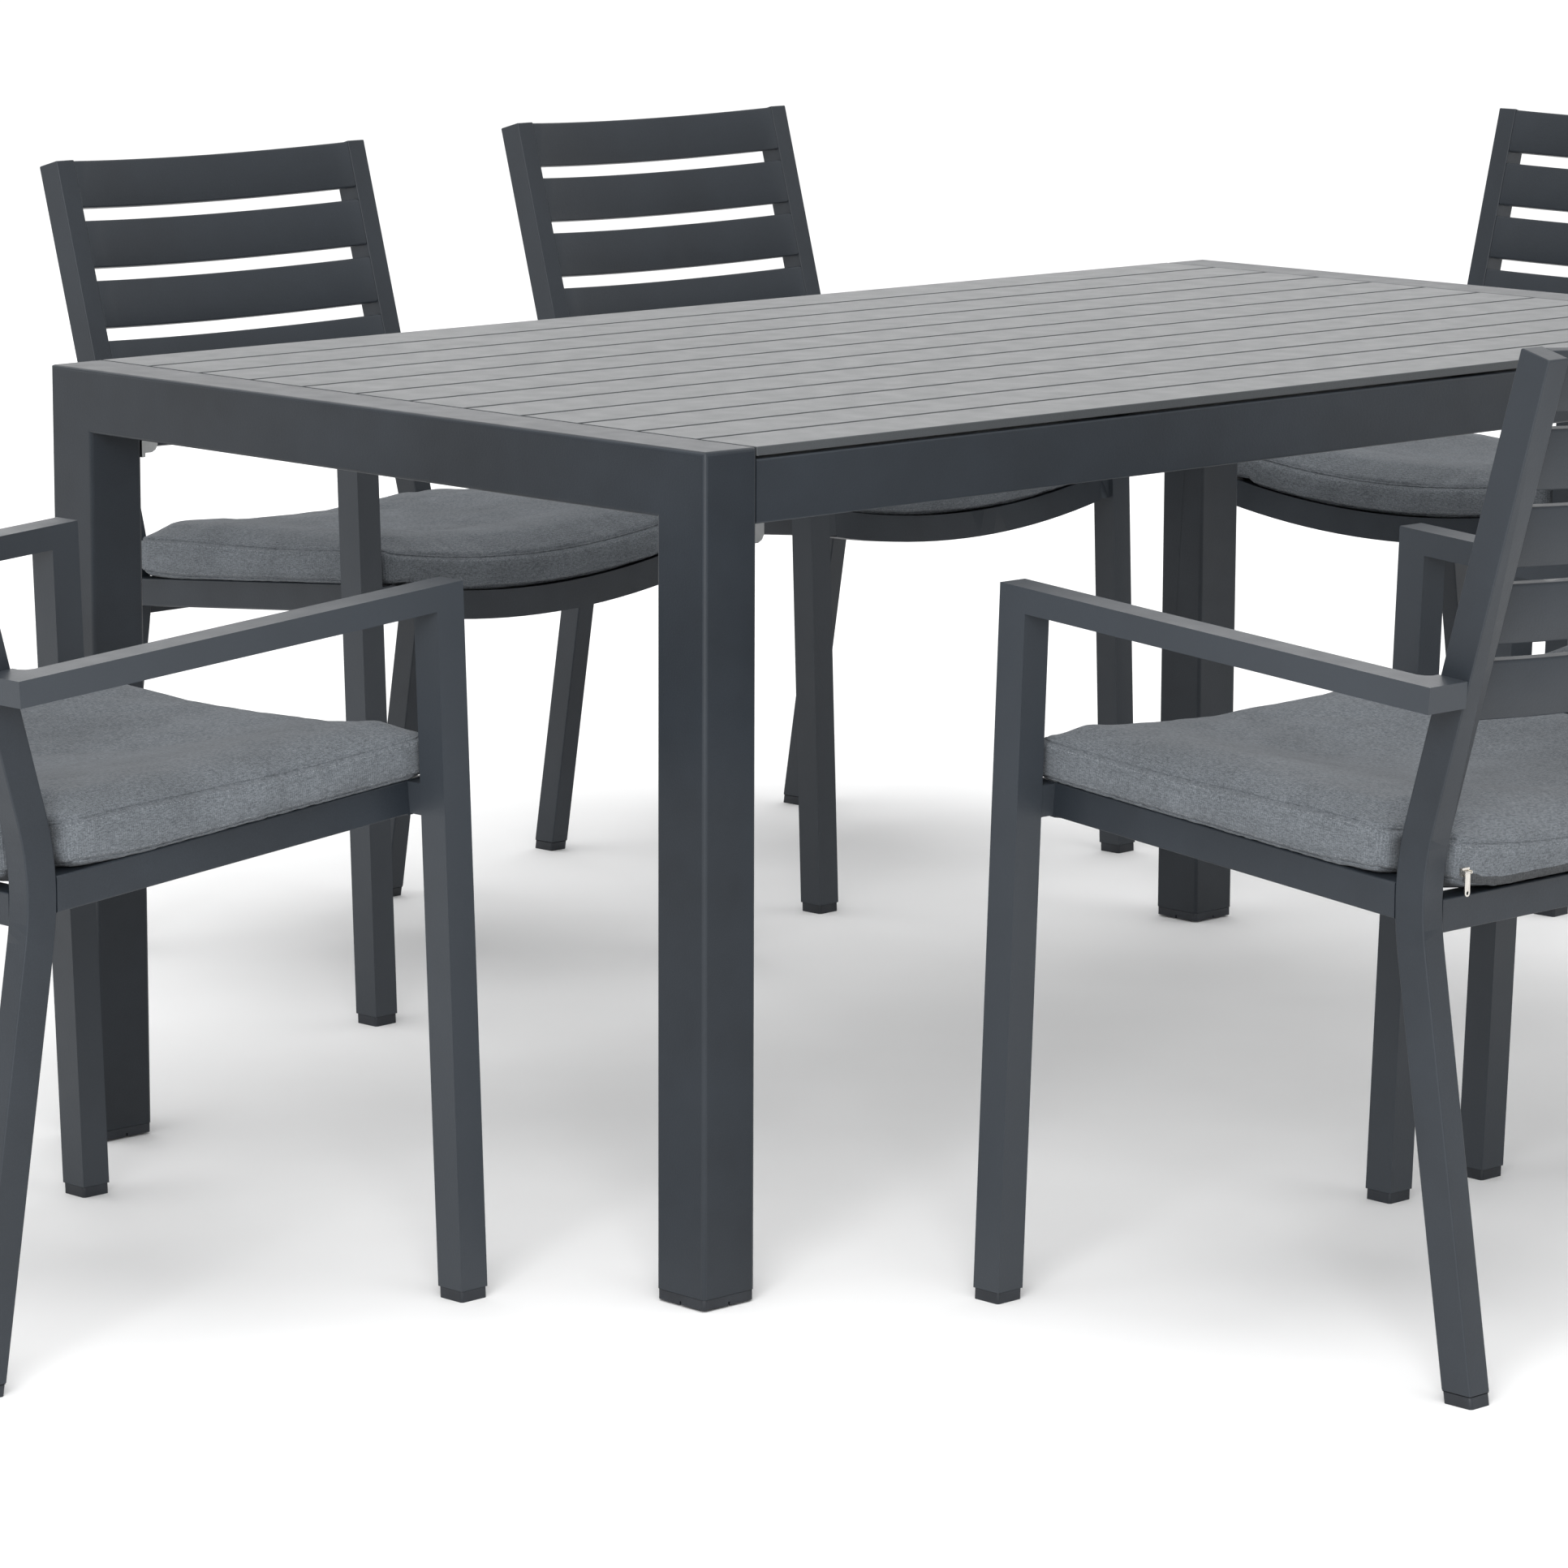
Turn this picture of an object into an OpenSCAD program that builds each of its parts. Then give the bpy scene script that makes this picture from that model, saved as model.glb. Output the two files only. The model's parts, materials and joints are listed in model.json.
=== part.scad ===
// Patio dining set: a slatted rectangular table with six armchairs and seat cushions.
// Millimetres, +Z up.  Origin: centre of the table's footprint on the floor.
// +X runs along the length of the table, +Y across it.
// A chair is drawn facing +Y with its own zero at the top front edge of the arms,
// brought down to the floor, then turned and set in its place round the table.

/* [Table] */
// overall length of the table
table_l = 1600; // [1320:10:2200]
// overall width of the table
table_w = 900; // [740:10:1100]
// height of the table top above the floor
table_h = 740; // [610:5:900]
// outside size of the square leg and end beam tube
leg_size = 60; // [50:1:72]
// outside edge radius of the leg tube
leg_r = 4; // [2:0.5:6]
// wall of the leg tube
leg_wall = 2; // [1.5:0.25:3]
// height of the side rails
apron_h = 55; // [48:1:66]
// thickness of the side rails
apron_t = 30; // [24:1:36]
// depth of the lips of a top slat
slat_h = 8; // [6:0.5:10]
// sheet thickness of a top slat
slat_skin = 2; // [1.5:0.25:2.5]
// gap between two top slats
slat_gap = 5; // [3:0.5:8]
// shadow gap between the outer slat and the side rail
shadow_gap = 2.5; // [1:0.5:4]
// width of a cross brace under the slats
brace_w = 40; // [30:1:48]
// height of a cross brace
brace_h = 20; // [16:1:24]

/* [Table feet and fixings] */
// height of the visible band of the table foot cap
cap_h = 9; // [7:0.5:12]
// height of the cap's underside above the floor
cap_lift = 2; // [1:0.5:4]
// length of the cap's plug inside the leg
cap_plug = 20; // [15:1:30]
// diameter of the levelling glide
glide_d = 40; // [34:1:46]
// thickness of the levelling glide
glide_t = 5; // [4:0.5:6]
// diameter of the glide's threaded stem
stem_d = 8; // [6:0.5:10]
// travel of the levelling glide
glide_travel = 4; // [2:0.5:5]
// shank diameter of the bracket bolts
bolt_d = 6; // [5:0.5:8]
// thickness of the corner brackets
bracket_t = 4; // [3:0.5:5]

/* [Chair] */
// overall width across the arms
chair_w = 545; // [455:5:655]
// height of the arm at the front
arm_h = 627; // [560:1:660]
// fall of the arm toward the back, in degrees
arm_fall = 4; // [2:0.5:6]
// outside size of the square leg tube
tube = 30; // [25:1:36]
// edge radius of the chairs' foot caps
tube_r = 3; // [2:0.5:4]
// wall of the chair tubes
tube_wall = 1.8; // [1.5:0.1:2.2]
// thickness of the arm tube
arm_t = 22; // [18:1:27]
// how far the front leg reaches forward at the floor
front_splay = 24; // [10:1:36]
// width of an upright, seen from the front
upright_w = 25; // [20:1:30]
// width across the outside of the two back uprights
back_w = 452; // [380:2:470]
// setback of the bend in the rear legs behind the front of the arms
bend_back = 411; // [345:1:490]
// height of the bend in the rear legs
bend_z = 420; // [400:1:440]
// radius of the bend in the rear legs
bend_r = 250; // [200:5:300]
// lean of the rear leg below the seat, in degrees
leg_lean = 9.2; // [6:0.2:12]
// lean of the back above the seat, in degrees
back_lean = 15.4; // [12:0.2:18]
// overall height of the chair
chair_h = 863; // [800:1:1030]
// number of back slats
back_slats_n = 5; // [3:1:5]
// height of a back slat
back_slat_w = 52; // [42:1:54]
// gap between two back slats
back_slat_gap = 14; // [8:1:18]
// thickness of a back slat
back_slat_t = 10; // [8:1:12]
// hollow of the back slats at the middle
back_hollow = 20; // [10:1:30]
// visible height of a chair foot cap
foot_h = 10; // [8:0.5:12]
// length of a foot cap's plug inside the leg
foot_plug = 18; // [12:1:24]

/* [Seat] */
// height of the top of the side rails at the front
seat_z = 455; // [440:1:470]
// fall of the seat toward the back, in degrees
seat_fall = 4.8; // [3:0.2:6]
// height of the seat rails
rail_h = 30; // [25:1:34]
// thickness of the seat rails
rail_t = 25; // [20:1:30]
// dip of the seat at the middle
seat_dip = 23; // [12:1:27]
// number of seat slats
seat_slats_n = 5; // [4:1:6]
// width of a seat slat
seat_slat_w = 45; // [35:1:52]
// thickness of a seat slat
seat_slat_t = 5; // [4:0.5:8]
// height of the rear rail's top above the floor
rear_rail_z = 408; // [400:1:415]

/* [Cushion] */
// thickness of the cushion along its sides
cushion_t = 40; // [33:1:48]
// room between the cushion and the arms, each side
cushion_side_room = 7.5; // [5:0.5:20]
// dip of the cushion's upper face at the middle
cushion_dip = 14; // [5:1:20]
// overhang of the cushion in front of the arms
cushion_front = 8; // [0:1:15]
// how far the cushion's tongue reaches back between the uprights
tongue_back = 36; // [25:1:45]
// corner radius of the cushion seen from above
cushion_r = 25; // [15:1:40]
// length of the zip pull
pull_l = 20; // [16:1:24]
// width of the zip pull
pull_w = 6.5; // [5:0.5:8]
// thickness of the zip pull
pull_t = 1.2; // [1:0.1:1.6]

/* [Placing of the chairs] */
// gap between the two chairs on the near side
near_gap = 101; // [60:1:200]
// distance of the near chairs' arm fronts from the table edge
near_stand = 145; // [80:1:300]
// gap between the two chairs on the far side
far_gap = 201; // [120:1:260]
// middle of the far pair along the table
far_mid = 363; // [0:1:380]
// distance of the first far chair's arm fronts from the table edge
far_stand_1 = 193; // [80:1:300]
// distance of the second far chair's arm fronts from the table edge
far_stand_2 = 297; // [150:1:350]
// turn of the first far chair, in degrees
far_turn_1 = 3.2; // [0:0.1:4]
// turn of the second far chair, in degrees
far_turn_2 = 2.2; // [0:0.1:3]
// distance of the left head chair's arm fronts from the table end
left_stand = 130; // [80:1:300]
// offset of the left head chair across the table
left_off = -11; // [-60:1:60]
// turn of the left head chair, in degrees
left_turn = 1.5; // [0:0.1:3]
// distance of the right head chair's arm fronts from the table end
right_stand = 271; // [200:1:350]
// gap between the right head chair's arm and the second far chair's arm fronts
right_side_gap = 64; // [55:1:120]
// turn of the right head chair, in degrees
right_turn = 3.4; // [0:0.1:4]

/* [Hidden] */
$fn = 64;
fit = 0.3;          // clearance between pieces that fit together
weld = 0.2;         // clearance at a welded butt joint
over = 60;          // excess length of cutting shapes
// table
top_half = table_l / 2 - leg_size;           // inner face of the end beams
slats_n = 12;
slat_inset = 1;                              // outer slat edge behind the leg face
slat_w = (table_w - 2 * slat_inset - (slats_n - 1) * slat_gap) / slats_n;
slat_z = table_h - slat_h;                   // underside of the top slats
apron_top = slat_z - shadow_gap;
apron_z = apron_top - apron_h;
beam_z = table_h - leg_size;
leg_foot_z = cap_lift + cap_h;               // bottom of the leg tube
bracket_l = 38;
bracket_drop = 22;                           // bracket reaches this far below the side rail
bracket_z = apron_z - bracket_drop;
bracket_h = apron_h - brace_h - 2 + bracket_drop;   // stays below the cross braces
bracket_cut = 7;                             // cut lower corner of the bracket
bolt_z = apron_z + (apron_h - brace_h) / 2;
bolt_len = 16;
bolt_head_d = 1.7 * bolt_d;
bolt_head_h = 0.65 * bolt_d;
bolt_y = table_w / 2 - leg_size / 2 - (apron_t + slat_inset) / 2;   // bolt into the leg
bolt_x = top_half - bracket_l / 2 - 4;       // bolt into the side rail
brace_top = slat_z - fit;
notch_w = 2;                                 // small notch in each face of the cap
notch_h = 3;
// chair
half = chair_w / 2;
back_half = min(back_w / 2, half - tube - 4);
back_in = back_half - upright_w;
back_mid = back_half - upright_w / 2;
foot_lean = atan(front_splay / arm_h);
c_bend = [-bend_back, bend_z];
bend_t = bend_r * tan((leg_lean + back_lean) / 2);
low_end = c_bend + bend_t * [-sin(leg_lean), -cos(leg_lean)];
up_end = c_bend + bend_t * [-sin(back_lean), cos(back_lean)];
bend_c = low_end + bend_r * [-cos(leg_lean), sin(leg_lean)];
apex_v = bend_c[0] + bend_r + tube / 2;      // foremost line of the rear leg
up_len = (chair_h - up_end[1] - tube / 2 * sin(back_lean)) / cos(back_lean);
arm_mid_z = arm_h - bend_back * tan(arm_fall) - arm_t / 2;
arm_back = -up_end[0] + (arm_mid_z - up_end[1]) * tan(back_lean) + tube / 2 / cos(back_lean);
arm_len = arm_back / cos(arm_fall);
// outer and inner corner of the leg-to-arm mitre in the side view
o_cut = [0, arm_h];
leg_dir = [sin(foot_lean), -cos(foot_lean)];
arm_dir = [-cos(arm_fall), -sin(arm_fall)];
leg_in = [-cos(foot_lean), -sin(foot_lean)]; // across the leg, toward the back
arm_in = [sin(arm_fall), -cos(arm_fall)];    // across the arm, downward
leg_rear = o_cut + tube * leg_in;
arm_under = o_cut + arm_t * arm_in;
// seat
rail_out = back_half;
rail_in = rail_out - rail_t;
dip_r = (rail_out * rail_out + seat_dip * seat_dip) / (2 * seat_dip);
foot_step = 0.6;                             // foot cap smaller than its tube
seat_back = -apex_v - weld;                  // rear end of the side rails
slat_first = rail_t + 25;
slat_span = seat_back - slat_first - 12;
slat_pitch = (slat_span - seat_slat_w) / (seat_slats_n - 1);
gusset = 9;                                  // fillet where the arm turns in to the upright
rail_front = 0;                              // front face of the front rail
// back slats, in the frame of the leaning back
back_span = back_in - weld;
back_r = (back_in * back_in + back_hollow * back_hollow) / (2 * back_hollow);
slat_recess = 0.4;
// cushion, in the frame of the sloping seat
cush_half = half - tube - cushion_side_room;
cush_r = (cush_half * cush_half + cushion_dip * cushion_dip) / (2 * cushion_dip);
shoulder_v = apex_v + 4;
tongue_half = back_in - 5;
tongue_v = shoulder_v - tongue_back - tube / 3;
// zip, in the chair's own upright frame
zip_z = 14;                                  // height of the zip above the cushion's underside
zip_u = -tongue_half + 4;
slider_w = 9;
slider_d = 3;
slider_h = 7;
pin_d = 1.2;
lug_t = 1.2;
lug_d = 3.4;
pull_hole = pin_d + 2 * fit;
pull_eye = 3.8;
zip_face = to_upright([tongue_v, zip_z]);
pin_v = zip_face[0] - 0.8 - slider_d - lug_d / 2;
pin_z = zip_face[1];
// places of the chairs: x, y, turn
near_x = (chair_w + near_gap) / 2;
far_x = (chair_w + far_gap) / 2;
far_y2 = table_w / 2 + far_stand_2;
places = [
    [-near_x, -table_w / 2 - near_stand, 0],
    [near_x, -table_w / 2 - near_stand, 0],
    [far_mid - far_x, table_w / 2 + far_stand_1, 180 + far_turn_1],
    [far_mid + far_x, far_y2, 180 + far_turn_2],
    [-table_l / 2 - left_stand, left_off, left_turn - 90],
    [table_l / 2 + right_stand, far_y2 - half - right_side_gap, 90 + right_turn]
];

// crossing point of two lines, each a point and a direction
function meet(p, a, q, b) =
    let (d = a[0] * b[1] - a[1] * b[0], t = ((q[0] - p[0]) * b[1] - (q[1] - p[1]) * b[0]) / d)
    p + t * a;

// point of the front leg at height z, along the leg from a given point
function leg_at(p, z) = p + (p[1] - z) / cos(foot_lean) * leg_dir;

// a point of the seat's sloping side view carried to the upright side view
function to_upright(p) = [
    p[0] * cos(seat_fall) - p[1] * sin(seat_fall),
    seat_z + p[0] * sin(seat_fall) + p[1] * cos(seat_fall)
];

// rectangle with rounded corners, centred
module rounded(x, y, r) {
    square([x - 2 * r, y], center = true);
    square([x, y - 2 * r], center = true);
    for (sx = [-1, 1], sy = [-1, 1])
        translate([sx * (x / 2 - r), sy * (y / 2 - r)]) circle(r);
}

// carries a side view drawn in x, y (thickness along z) to y, z (thickness along x)
module side_view() {
    rotate([90, 0, 90]) children();
}

// bar along +x, deep along y and wide along z
module bar(len, deep, wide, r) {
    side_view() linear_extrude(len) rounded(deep, wide, r);
}

// ---------------------------------------------------------------- table

// one welded end frame, drawn with its outer face on x = 0 and its body toward +x
module end_frame() {
    cavity = leg_size - 2 * leg_wall;
    difference() {
        union() {
            intersection() {
                translate([leg_size / 2, -table_w / 2, table_h - leg_size / 2])
                    rotate([0, 0, 90]) bar(table_w, leg_size, leg_size, leg_r);
                translate([leg_size / 2, 0, 0])
                    linear_extrude(table_h + over) rounded(leg_size, table_w, leg_r);
                translate([0, 0, (table_h - over) / 2])
                    side_view() linear_extrude(leg_size) rounded(table_w, table_h + over, leg_r);
            }
            for (s = [-1, 1])
                translate([leg_size / 2, s * (table_w - leg_size) / 2, leg_foot_z])
                    linear_extrude(beam_z + leg_size / 2 - leg_foot_z) rounded(leg_size, leg_size, leg_r);
        }
        translate([leg_wall, -table_w / 2 + leg_wall, beam_z + leg_wall])
            cube([cavity, table_w - 2 * leg_wall, cavity]);
        for (s = [-1, 1])
            translate([leg_wall, s * (table_w - leg_size) / 2 - cavity / 2, leg_foot_z - 1])
                cube([cavity, cavity, beam_z + leg_size / 2 - leg_foot_z]);
        for (s = [-1, 1])
            translate([leg_size / 2, s * bolt_y, bolt_z])
                rotate([0, 90, 0]) cylinder(d = bolt_d + 2 * fit, h = leg_size);
    }
}

module table_end_left() {
    color([0.25, 0.27, 0.3]) translate([-table_l / 2, 0, 0]) end_frame();
}

module table_end_right() {
    color([0.25, 0.27, 0.3]) translate([table_l / 2, 0, 0]) rotate([0, 0, 180]) end_frame();
}

brace_x = [-top_half + brace_w / 2 + fit, -top_half / 3, top_half / 3, top_half - brace_w / 2 - fit];

// two side rails joined by four cross braces
module table_underframe() {
    len = 2 * (top_half - fit);
    inner_w = table_w - 2 * (apron_t + slat_inset);
    color([0.25, 0.27, 0.3]) {
        for (s = [-1, 1])
            difference() {
                translate([-len / 2, s * (table_w / 2 - slat_inset - apron_t / 2), apron_z + apron_h / 2])
                    bar(len, apron_t, apron_h, 2);
                translate([-len / 2 - 1, s * (table_w / 2 - slat_inset - apron_t / 2), apron_z + apron_h / 2])
                    bar(len + 2, apron_t - 2 * leg_wall, apron_h - 2 * leg_wall, 1);
                for (e = [-1, 1])
                    translate([e * bolt_x, s * (inner_w / 2 - 1), bolt_z])
                        rotate([-s * 90, 0, 0]) cylinder(d = bolt_d + 2 * fit, h = leg_wall + 2);
            }
        for (x = brace_x)
            translate([x, -inner_w / 2 - leg_wall / 2, brace_top])
                rotate([-90, 0, 0]) linear_extrude(inner_w + leg_wall) channel(brace_w, brace_h, leg_wall);
    }
}

// open channel: web along the top edge, two legs reaching to +y
module channel(w, h, t) {
    polygon([
        [-w / 2, 0], [w / 2, 0], [w / 2, h], [w / 2 - t, h],
        [w / 2 - t, t], [-w / 2 + t, t], [-w / 2 + t, h], [-w / 2, h]
    ]);
}

module table_slats() {
    len = 2 * (top_half - fit);
    color([0.62, 0.64, 0.64])
        for (i = [0 : slats_n - 1])
            translate([-len / 2, -table_w / 2 + slat_inset + slat_w / 2 + i * (slat_w + slat_gap), table_h])
                side_view() linear_extrude(len) rotate(180) channel(slat_w, slat_h, slat_skin);
}

// angle plate between the leg and the side rail, drawn for the corner toward +x +y
module bracket() {
    leg_y = table_w / 2 - apron_t - slat_inset;
    room = leg_y - (table_w / 2 - leg_size);
    plate_l = bracket_l - fit;
    difference() {
        union() {
            translate([top_half - fit - bracket_t, leg_y - room, bracket_z])
                cube([bracket_t, room - fit, bracket_h]);
            translate([top_half - bracket_l, leg_y - fit, bracket_z]) rotate([90, 0, 0])
                linear_extrude(bracket_t) polygon([
                    [bracket_cut, 0], [plate_l, 0], [plate_l, bracket_h], [0, bracket_h],
                    [0, bracket_cut], [bracket_cut / 3, bracket_cut / 3]
                ]);
        }
        bolt_places() cylinder(d = bolt_d + 2 * fit, h = over, center = true);
    }
}

// the two bolt axes of one corner; the bolt points along +z of the child
module bolt_places() {
    translate([top_half, bolt_y, bolt_z]) rotate([0, 90, 0]) children();
    translate([bolt_x, table_w / 2 - apron_t - slat_inset, bolt_z])
        rotate([-90, 0, 0]) children();
}

module corners() {
    for (mx = [0, 1], my = [0, 1])
        mirror([mx, 0, 0]) mirror([0, my, 0]) children();
}

module table_brackets() {
    color([0.5, 0.5, 0.52]) corners() bracket();
}

module table_bolts() {
    color([0.7, 0.7, 0.7]) corners() bolt_places() {
        translate([0, 0, -bracket_t - 2 * fit - bolt_head_h])
            cylinder(d = bolt_head_d, h = bolt_head_h, $fn = 6);
        translate([0, 0, -bracket_t - 2 * fit - 0.01]) cylinder(d = bolt_d, h = bolt_len);
    }
}

module table_foot_caps() {
    plug = leg_size - 2 * leg_wall - 2 * fit;
    color([0.1, 0.1, 0.11]) corners()
        translate([(table_l - leg_size) / 2, (table_w - leg_size) / 2, 0])
            difference() {
                union() {
                    translate([0, 0, cap_lift]) linear_extrude(cap_h - fit)
                        rounded(leg_size - 1, leg_size - 1, leg_r);
                    translate([0, 0, cap_lift]) linear_extrude(cap_h + cap_plug) rounded(plug, plug, 1);
                }
                translate([0, 0, cap_lift - 1])
                    cylinder(d = glide_d + 2, h = 1 + glide_t + glide_travel - cap_lift + 1);
                cylinder(d = stem_d + 2 * fit, h = over);
                for (a = [0, 90, 180, 270]) rotate(a)
                    translate([leg_size / 2 - 6, -notch_w / 2, cap_lift - 1])
                        cube([10, notch_w, notch_h + 1]);
            }
}

// levelling glide: a disc that bears on the floor and its stem
module glide(sx, sy) {
    color([0.12, 0.12, 0.13])
        translate([sx * (table_l - leg_size) / 2, sy * (table_w - leg_size) / 2, 0]) {
            cylinder(d1 = glide_d - 3, d2 = glide_d, h = 1.5);
            translate([0, 0, 1.5]) cylinder(d = glide_d, h = glide_t - 1.5);
            cylinder(d = stem_d, h = leg_foot_z + cap_plug - glide_travel - 2);
        }
}

module glide_near_left() { glide(-1, -1); }
module glide_near_right() { glide(1, -1); }
module glide_far_left() { glide(-1, 1); }
module glide_far_right() { glide(1, 1); }

// ---------------------------------------------------------------- chair

// side outline of front leg and arm, joined at a mitred corner
module arm_outline(inset) {
    low = foot_h - (inset > 0 ? 1 : 0);
    outer = meet(o_cut + inset * leg_in, leg_dir, o_cut + inset * arm_in, arm_dir);
    inner = meet(leg_rear - inset * leg_in, leg_dir, arm_under - inset * arm_in, arm_dir);
    end = o_cut + (arm_len - inset) * arm_dir;
    polygon([
        leg_at(outer, low), outer, end + inset * arm_in, end + (arm_t - inset) * arm_in,
        inner, leg_at(inner, low)
    ]);
}

// one welded arm frame on the side toward +x
module arm_frame() {
    gap = half - tube - back_half - weld;
    difference() {
        translate([half - tube, 0, 0]) side_view() linear_extrude(tube) arm_outline(0);
        translate([half - tube + tube_wall, 0, 0])
            side_view() linear_extrude(tube - 2 * tube_wall) arm_outline(tube_wall);
    }
    // return that ties the rear of the arm to the upright, with a small gusset in the corner
    translate([0, 0, arm_h]) rotate([arm_fall, 0, 0]) {
        translate([back_half + weld, -arm_len, -arm_t]) cube([gap + tube_wall / 2, tube, arm_t]);
        translate([half - tube, -arm_len + tube, -arm_t]) linear_extrude(arm_t)
            polygon([
                [1, -1], [1, gusset], [0, gusset],
                [-gusset / 3, gusset / 3], [-gusset, 0], [-gusset, -1]
            ]);
    }
    // stub that ties the leg to the seat rail
    translate([0, 0, seat_z]) rotate([seat_fall, 0, 0])
        translate([back_half + weld, -rail_front - rail_t + 2, -rail_h + 1])
            cube([gap + tube_wall / 2, rail_t - 2, rail_h - 2]);
}

module arms() {
    color([0.25, 0.27, 0.3]) {
        arm_frame();
        mirror([1, 0, 0]) arm_frame();
    }
}

// unit step at an angle
function toward(angle) = [cos(angle), sin(angle)];

// point of the rear leg at height z below a given point, along the leg's lean
function down(p, z) = p - (p[1] - z) / cos(leg_lean) * [sin(leg_lean), cos(leg_lean)];

// side outline of upright and rear leg: two straight runs joined by a bend
module upright_outline(inset) {
    size = tube / 2 - inset;
    top = (up_len - (inset > 0 ? 3 : 0)) * [-sin(back_lean), cos(back_lean)];
    low = foot_h - (inset > 0 ? 1 : 0);
    out = size * [cos(leg_lean), -sin(leg_lean)];
    back = size * [cos(back_lean), sin(back_lean)];
    steps = 12;
    turn = (leg_lean + back_lean) / steps;
    polygon(concat(
        [down(low_end + out, low)],
        [for (i = [0 : steps]) bend_c + (bend_r + size) * toward(i * turn - leg_lean)],
        [up_end + back + top, up_end - back + top],
        [for (i = [steps : -1 : 0]) bend_c + (bend_r - size) * toward(i * turn - leg_lean)],
        [down(low_end - out, low)]
    ));
}

// two uprights that run down as the rear legs, and the rear seat rail between them
module back_frame() {
    rear_h = rail_h - 2;
    rear_v = apex_v - tube / 2 - 1;
    color([0.25, 0.27, 0.3]) difference() {
        union() {
            for (s = [-1, 1])
                translate([s * back_mid - upright_w / 2, 0, 0])
                    side_view() linear_extrude(upright_w) upright_outline(0);
            translate([-back_in - tube_wall, rear_v - rail_t / 2, rear_rail_z - rear_h])
                cube([2 * (back_in + tube_wall), rail_t, rear_h]);
        }
        for (s = [-1, 1])
            translate([s * back_mid - upright_w / 2 + tube_wall, 0, 0])
                side_view() linear_extrude(upright_w - 2 * tube_wall) upright_outline(tube_wall);
        translate([-back_in - tube_wall - 1, rear_v - rail_t / 2, rear_rail_z - rear_h] + tube_wall * [0, 1, 1])
            cube([2 * (back_in + tube_wall + 1), rail_t - 2 * tube_wall, rear_h - 2 * tube_wall]);
    }
}

// curved slats between the uprights
module back_slats() {
    back_slat_pitch = back_slat_w + back_slat_gap;
    color([0.28, 0.3, 0.33])
        translate([0, up_end[0], up_end[1]]) rotate([back_lean, 0, 0])
            for (i = [0 : back_slats_n - 1])
                translate([0, tube / 2 - slat_recess, up_len - 1 - back_slat_w - i * back_slat_pitch])
                    linear_extrude(back_slat_w) intersection() {
                        translate([0, back_r - back_hollow]) difference() {
                            circle(r = back_r + back_slat_t, $fn = 180);
                            circle(r = back_r, $fn = 180);
                        }
                        translate([-back_span, -back_hollow - back_slat_t - 1])
                            square([2 * back_span, back_hollow + 2 * back_slat_t]);
                    }
}

// band that follows the dip of the seat, seen from the front: u across, z up
module dip_band(thick, reach, shrink) {
    intersection() {
        translate([0, dip_r - seat_dip]) difference() {
            circle(r = dip_r + thick - shrink, $fn = 180);
            circle(r = dip_r + shrink, $fn = 180);
        }
        translate([-reach, -seat_dip - thick - 1]) square([2 * reach, seat_dip + 2 * thick]);
    }
}

// drops a front view (u, z) along the seat, from v back over the given depth
module along_seat(v, deep) {
    translate([0, v, 0]) rotate([90, 0, 0]) linear_extrude(deep) children();
}

// side rails, dipped front rail and dipped slats, welded into one frame
module seat_frame() {
    reach = rail_in + tube_wall;
    side_v = -rail_front - rail_t + tube_wall;
    color([0.25, 0.27, 0.3]) difference() {
        translate([0, 0, seat_z]) rotate([seat_fall, 0, 0]) difference() {
            union() {
                for (s = [-1, 1])
                    translate([s * (rail_out - rail_t / 2), side_v, -rail_h / 2])
                        rotate([0, 0, -90]) bar(seat_back + over, rail_t, rail_h, 2);
                along_seat(-rail_front, rail_t) dip_band(rail_h, rail_out, 0);
                for (i = [0 : seat_slats_n - 1])
                    along_seat(-slat_first - i * slat_pitch, seat_slat_w)
                        dip_band(seat_slat_t, reach, 0);
            }
            for (s = [-1, 1])
                translate([s * (rail_out - rail_t / 2), side_v, -rail_h / 2])
                    rotate([0, 0, -90])
                        bar(seat_back + over, rail_t - 2 * tube_wall, rail_h - 2 * tube_wall, 1);
            along_seat(-rail_front - tube_wall, rail_t - 2 * tube_wall)
                dip_band(rail_h, rail_out - tube_wall, tube_wall);
        }
        translate([-half, -seat_back - 3 * over, 0]) cube([chair_w, 3 * over, chair_h]);
    }
}

// foot cap of a square tube that stands on the floor; child is the tube's outline path
module feet() {
    color([0.1, 0.1, 0.11]) for (s = [-1, 1]) {
        translate([s * (half - tube / 2), 0, 0]) side_view()
            translate(o_cut + tube / 2 * leg_in)
                rotate([0, 0, -90 + foot_lean])
                    foot_along(arm_h - tube / 2 * sin(foot_lean), foot_lean, tube);
        translate([s * back_mid, 0, 0]) side_view()
            translate(low_end) rotate([0, 0, -90 - leg_lean]) foot_along(low_end[1], -leg_lean, upright_w);
    }
}

// cap and plug on a tube of the given width that runs along +x down to the floor
module foot_along(height, lean, wide) {
    len = height / cos(lean);
    inner = 2 * (tube_wall + fit);
    turn = 90 - lean;
    translate([len, 0, 0]) {
        intersection() {
            translate([-over, 0, 0]) bar(2 * over, tube - foot_step, wide - foot_step, tube_r);
            rotate([0, 0, turn]) translate([-over, 0, -tube]) cube([2 * over, foot_h - fit, 2 * tube]);
        }
        intersection() {
            translate([-over, 0, 0]) bar(2 * over, tube - inner, wide - inner, 1.2);
            rotate([0, 0, turn]) translate([-over, 1, -tube]) cube([2 * over, foot_h + foot_plug, 2 * tube]);
        }
    }
}

// ---------------------------------------------------------------- cushion

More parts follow.
